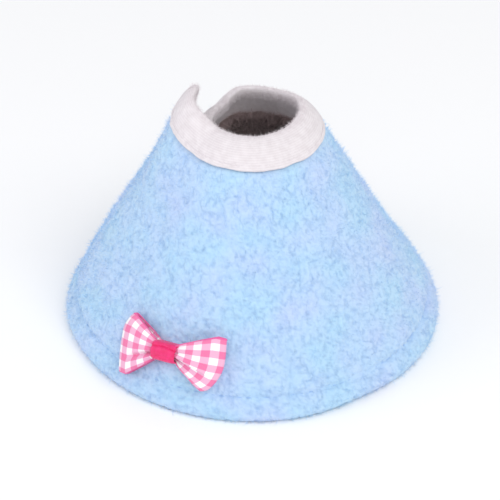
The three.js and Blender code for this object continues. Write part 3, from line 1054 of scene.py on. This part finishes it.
class Finish:
    """A procedural material under construction. Its texture coordinates are the flat cloth's, in mm."""

    def __init__(self, name, **constants):
        self.material = bpy.data.materials.new(name)
        self.material.use_nodes = True
        self.nodes = self.material.node_tree.nodes
        self.links = self.material.node_tree.links
        self.shader = self.nodes["Principled BSDF"]
        self.feed(self.shader, **constants)
        uv = self.nodes.new("ShaderNodeUVMap")
        uv.uv_map = "flat"
        scale = self.nodes.new("ShaderNodeVectorMath")
        scale.operation = "SCALE"
        self.feed(scale, Scale=UV_SPAN, Vector=uv.outputs["UV"])
        self.flat = scale.outputs["Vector"]
        split = self.nodes.new("ShaderNodeSeparateXYZ")
        self.link(self.flat, split.inputs[0])
        self.across, self.along = split.outputs["X"], split.outputs["Y"]

    def link(self, source, target):
        """Sets a socket to a number or a colour, or links it to the output of another node."""
        if isinstance(source, tuple):
            target.default_value = (*source, 1.0)
        elif isinstance(source, (int, float)):
            target.default_value = source
        else:
            self.links.new(source, target)

    def feed(self, node, **inputs):
        """Links inputs by name, with _ for a space."""
        for name, source in inputs.items():
            self.link(source, node.inputs[name.replace("_", " ")])

    def math(self, operation, a, b=0.0):
        node = self.nodes.new("ShaderNodeMath")
        node.operation = operation
        for source, socket in zip((a, b), node.inputs):
            self.link(source, socket)
        return node.outputs[0]

    def noise(self, per_mm, detail=3.0, roughness=0.6):
        node = self.nodes.new("ShaderNodeTexNoise")
        self.feed(node, Scale=per_mm, Detail=detail, Roughness=roughness, Vector=self.flat)
        return node.outputs["Fac"]

    def crease(self):
        node = self.nodes.new("ShaderNodeAttribute")
        node.attribute_name = "crease"
        return node.outputs["Fac"]

    def ramp(self, value, *stops, steps=False):
        node = self.nodes.new("ShaderNodeValToRGB")
        ramp = node.color_ramp
        ramp.interpolation = "CONSTANT" if steps else "LINEAR"
        while len(ramp.elements) < len(stops):
            ramp.elements.new(0.5)
        for element, (place, colour) in zip(ramp.elements, stops):
            element.position = place
            element.color = (*colour, 1.0)
        self.feed(node, Fac=value)
        return node.outputs["Color"]

    def mix(self, share, a, b):
        node = self.nodes.new("ShaderNodeMix")
        node.data_type = "RGBA"
        for source, place in ((share, 0), (a, 6), (b, 7)):
            self.link(source, node.inputs[place])
        return node.outputs[2]

    def ribs(self, place, pitch):
        """Waves from -1 to 1 along one direction of the cloth."""
        return self.math("SINE", self.math("MULTIPLY", place, 2 * math.pi / pitch))

    def weave(self, pitch):
        """Threads over and under each other, from 0 to 1."""
        warp, weft = self.ribs(self.across, 2 * pitch), self.ribs(self.along, 2 * pitch)
        return self.math("ABSOLUTE", self.math("MULTIPLY", warp, weft))

    def colour(self, value):
        self.feed(self.shader, Base_Color=value)

    def shades(self, value, *stops):
        self.colour(self.ramp(value, *stops))

    def bump(self, height, depth_mm, strength=0.6):
        node = self.nodes.new("ShaderNodeBump")
        self.feed(node, Distance=depth_mm * MM, Strength=strength, Height=height)
        self.feed(self.shader, Normal=node.outputs["Normal"])


# The deeper blue is painted shade: the fleece is mixed towards it in its creases and in the gaps between
# curls.
FLEECE_BLUE, FLEECE_PAINTED_SHADE, FLEECE_LAVENDER = (0.50, 0.74, 0.94), (0.27, 0.46, 0.74), (0.57, 0.71, 0.96)


def fleece_material():
    finish = Finish("Fleece", Roughness=0.95, Sheen_Weight=0.35, Sheen_Roughness=0.6)
    broad = finish.ramp(finish.noise(0.05, 1.0), (0.35, FLEECE_BLUE), (0.7, FLEECE_LAVENDER))
    fine = finish.math("MULTIPLY", finish.noise(1.1), 0.35)
    # Painted shade in the creases, from the crease attribute, plus fine random tone from noise.
    deep = finish.math("ADD", finish.math("MULTIPLY", finish.crease(), 0.75), fine)
    finish.colour(finish.mix(finish.math("SUBTRACT", deep, 0.15), broad, FLEECE_PAINTED_SHADE))
    finish.bump(finish.noise(2.6, 4.0, 0.7), 0.35)
    return finish.material


def thread_material(name, dark, light):
    finish = Finish(name, Roughness=0.7)
    finish.shades(finish.noise(3.0), (0.3, dark), (0.7, light))
    return finish.material


def cotton_material():
    finish = Finish("Cotton_tape", Roughness=0.9, Sheen_Weight=0.1)
    ribs = finish.ribs(finish.along, 0.9)
    weave = finish.math("ADD", finish.weave(0.42), finish.math("MULTIPLY", ribs, 0.25))
    tone = finish.math("ADD", finish.math("MULTIPLY", weave, 0.35), finish.noise(0.35, 4.0))
    finish.shades(tone, (0.35, (0.72, 0.66, 0.68)), (0.9, (0.87, 0.82, 0.84)))
    finish.bump(weave, 0.12, 0.5)
    return finish.material


def lining_material():
    finish = Finish("Lining_fleece", Roughness=1.0, Sheen_Weight=0.25, Sheen_Roughness=0.5)
    # Painted shade: darker between the pile's lumps and lighter on them, from the crease attribute, plus
    # random tone from noise.
    tone = finish.math("ADD", finish.math("MULTIPLY", finish.crease(), 0.5), finish.noise(0.9))
    finish.shades(tone, (0.3, (0.20, 0.13, 0.13)), (0.9, (0.55, 0.42, 0.42)))
    finish.bump(finish.noise(2.2, 4.0, 0.7), 0.4)
    return finish.material


def foam_material():
    finish = Finish("Foam", Roughness=0.9)
    pores = finish.noise(2.4, 5.0, 0.75)
    finish.shades(pores, (0.3, (0.62, 0.58, 0.48)), (0.65, (0.86, 0.84, 0.77)))
    finish.bump(pores, 0.4)
    return finish.material


def tape_material():
    finish = Finish("Hook_and_loop_tape", Roughness=0.6, Sheen_Weight=0.2)
    ribs = finish.weave(0.6)
    finish.shades(ribs, (0.2, (0.66, 0.66, 0.68)), (0.8, (0.82, 0.82, 0.84)))
    finish.bump(ribs, 0.15)
    return finish.material


CHECK = 2.78  # width of a stripe of the gingham
GINGHAM = ((1.0, 0.97, 0.98), (0.90, 0.42, 0.63), (0.88, 0.13, 0.36))
SELVEDGE = (0.87, 0.14, 0.38)


def gingham_material():
    finish = Finish("Gingham_ribbon", Roughness=0.75, Sheen_Weight=0.1)
    stripes = []
    for place, shift in ((finish.across, 0.3), (finish.along, 50.25)):
        turn = finish.math("FRACT", finish.math("ADD", finish.math("DIVIDE", place, 2 * CHECK), shift))
        stripes.append(finish.math("LESS_THAN", turn, 0.5))
    both = finish.math("MULTIPLY", finish.math("ADD", *stripes), 0.5)
    checks = finish.ramp(both, (0.0, GINGHAM[0]), (0.25, GINGHAM[1]), (0.75, GINGHAM[2]), steps=True)
    threads = finish.weave(0.36)
    worn = finish.mix(finish.math("MULTIPLY", threads, 0.22), checks, (1.0, 0.93, 0.96))
    edge = finish.math("GREATER_THAN", finish.math("ABSOLUTE", finish.along), RIBBON_HALF - 0.7)
    finish.colour(finish.mix(edge, worn, SELVEDGE))
    finish.bump(threads, 0.08, 0.5)
    return finish.material


def satin_material():
    finish = Finish("Satin_band", Roughness=0.45, Sheen_Weight=0.1, Anisotropic=0.3)
    ribs = finish.ribs(finish.across, 0.3)
    tone = finish.noise(0.5, 3.0)
    finish.shades(tone, (0.3, (0.80, 0.012, 0.13)), (0.75, (0.93, 0.03, 0.22)))
    finish.bump(ribs, 0.05, 0.4)
    return finish.material


def floor_material():
    finish = Finish("Floor", Roughness=0.9)
    finish.shades(finish.noise(0.02, 2.0), (0.3, (0.98, 0.98, 0.98)), (0.7, (1.0, 1.0, 1.0)))
    return finish.material


# --- the studio -------------------------------------------------------------------------------

CAMERA_DISTANCE = 1.1  # in metres, like the next two
FRAME_WIDTH = 0.195  # what the picture spans at the cone's axis
FLOOR_DROP = 0.0002  # keeps the floor clear of the rim
CAMERA_ELEVATION = math.radians(36)
VIEW_CENTRE = (-1.6, 0.0, 28.2)  # from the foot of the cone's axis, in millimetres


def make_floor():
    bpy.ops.mesh.primitive_plane_add(size=12.0, location=(0, 0, -FLOOR_DROP))
    floor = bpy.context.object
    floor.name = "floor"
    floor.data.uv_layers[0].name = "flat"
    floor.data.materials.append(floor_material())
    floor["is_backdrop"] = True


def make_light(name, location, target, size, power, colour):
    light = bpy.data.lights.new(name, "AREA")
    light.shape, light.size, light.energy, light.color = "DISK", size, power, colour
    obj = bpy.data.objects.new(name, light)
    obj.location = location
    obj.rotation_euler = (Vector(target) - Vector(location)).to_track_quat("-Z", "Y").to_euler()
    bpy.context.collection.objects.link(obj)


def make_lights():
    world = bpy.data.worlds.new("Studio")
    world.use_nodes = True
    background = world.node_tree.nodes["Background"]
    background.inputs["Color"].default_value = (0.97, 0.98, 1.0, 1.0)
    background.inputs["Strength"].default_value = 0.7
    bpy.context.scene.world = world
    middle = (0.0, 0.0, 0.04)
    make_light("Key", (0.75, -0.75, 1.3), middle, 0.9, 7.0, (1.0, 0.995, 0.985))
    make_light("Front", (0.05, -0.9, 0.9), middle, 0.5, 2.2, (1.0, 1.0, 1.0))
    make_light("Fill", (-1.1, -0.3, 0.6), middle, 0.9, 3.0, (0.94, 0.92, 1.0))
    bpy.context.scene.view_settings.view_transform = "Standard"


def make_camera():
    camera = bpy.data.cameras.new("Camera")
    camera.sensor_width = 36.0
    camera.lens = CAMERA_DISTANCE * camera.sensor_width / FRAME_WIDTH
    obj = bpy.data.objects.new("Camera", camera)
    target = (Vector((*AXIS, 0.0)) + Vector(VIEW_CENTRE)) * MM
    back = Vector((0.0, -math.cos(CAMERA_ELEVATION), math.sin(CAMERA_ELEVATION)))
    obj.location = target + back * CAMERA_DISTANCE
    obj.rotation_euler = (-back).to_track_quat("-Z", "Y").to_euler()
    bpy.context.collection.objects.link(obj)
    bpy.context.scene.camera = obj


def make_collar():
    fleece, cotton = fleece_material(), cotton_material()
    hem_thread = thread_material("Hem_thread", (0.33, 0.52, 0.82), (0.42, 0.62, 0.9))
    cotton_thread = thread_material("Cotton_thread", (0.78, 0.73, 0.75), (0.9, 0.86, 0.88))
    lining, foam, tape = lining_material(), foam_material(), tape_material()
    for span in spans():
        make_fleece(span, fleece, hem_thread)
        make_foam(span, foam)
        make_lining(span, lining)
        make_binding(span, cotton, cotton_thread)
    make_closure(tape, cotton_thread)
    make_band(satin_material())
    make_ribbon(gingham_material())


make_collar()
make_floor()
make_lights()
make_camera()

boxes = {"cad": CAD_BOX, "visual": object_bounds()}
{name: [list(corner) for corner in box] for name, box in boxes.items()}
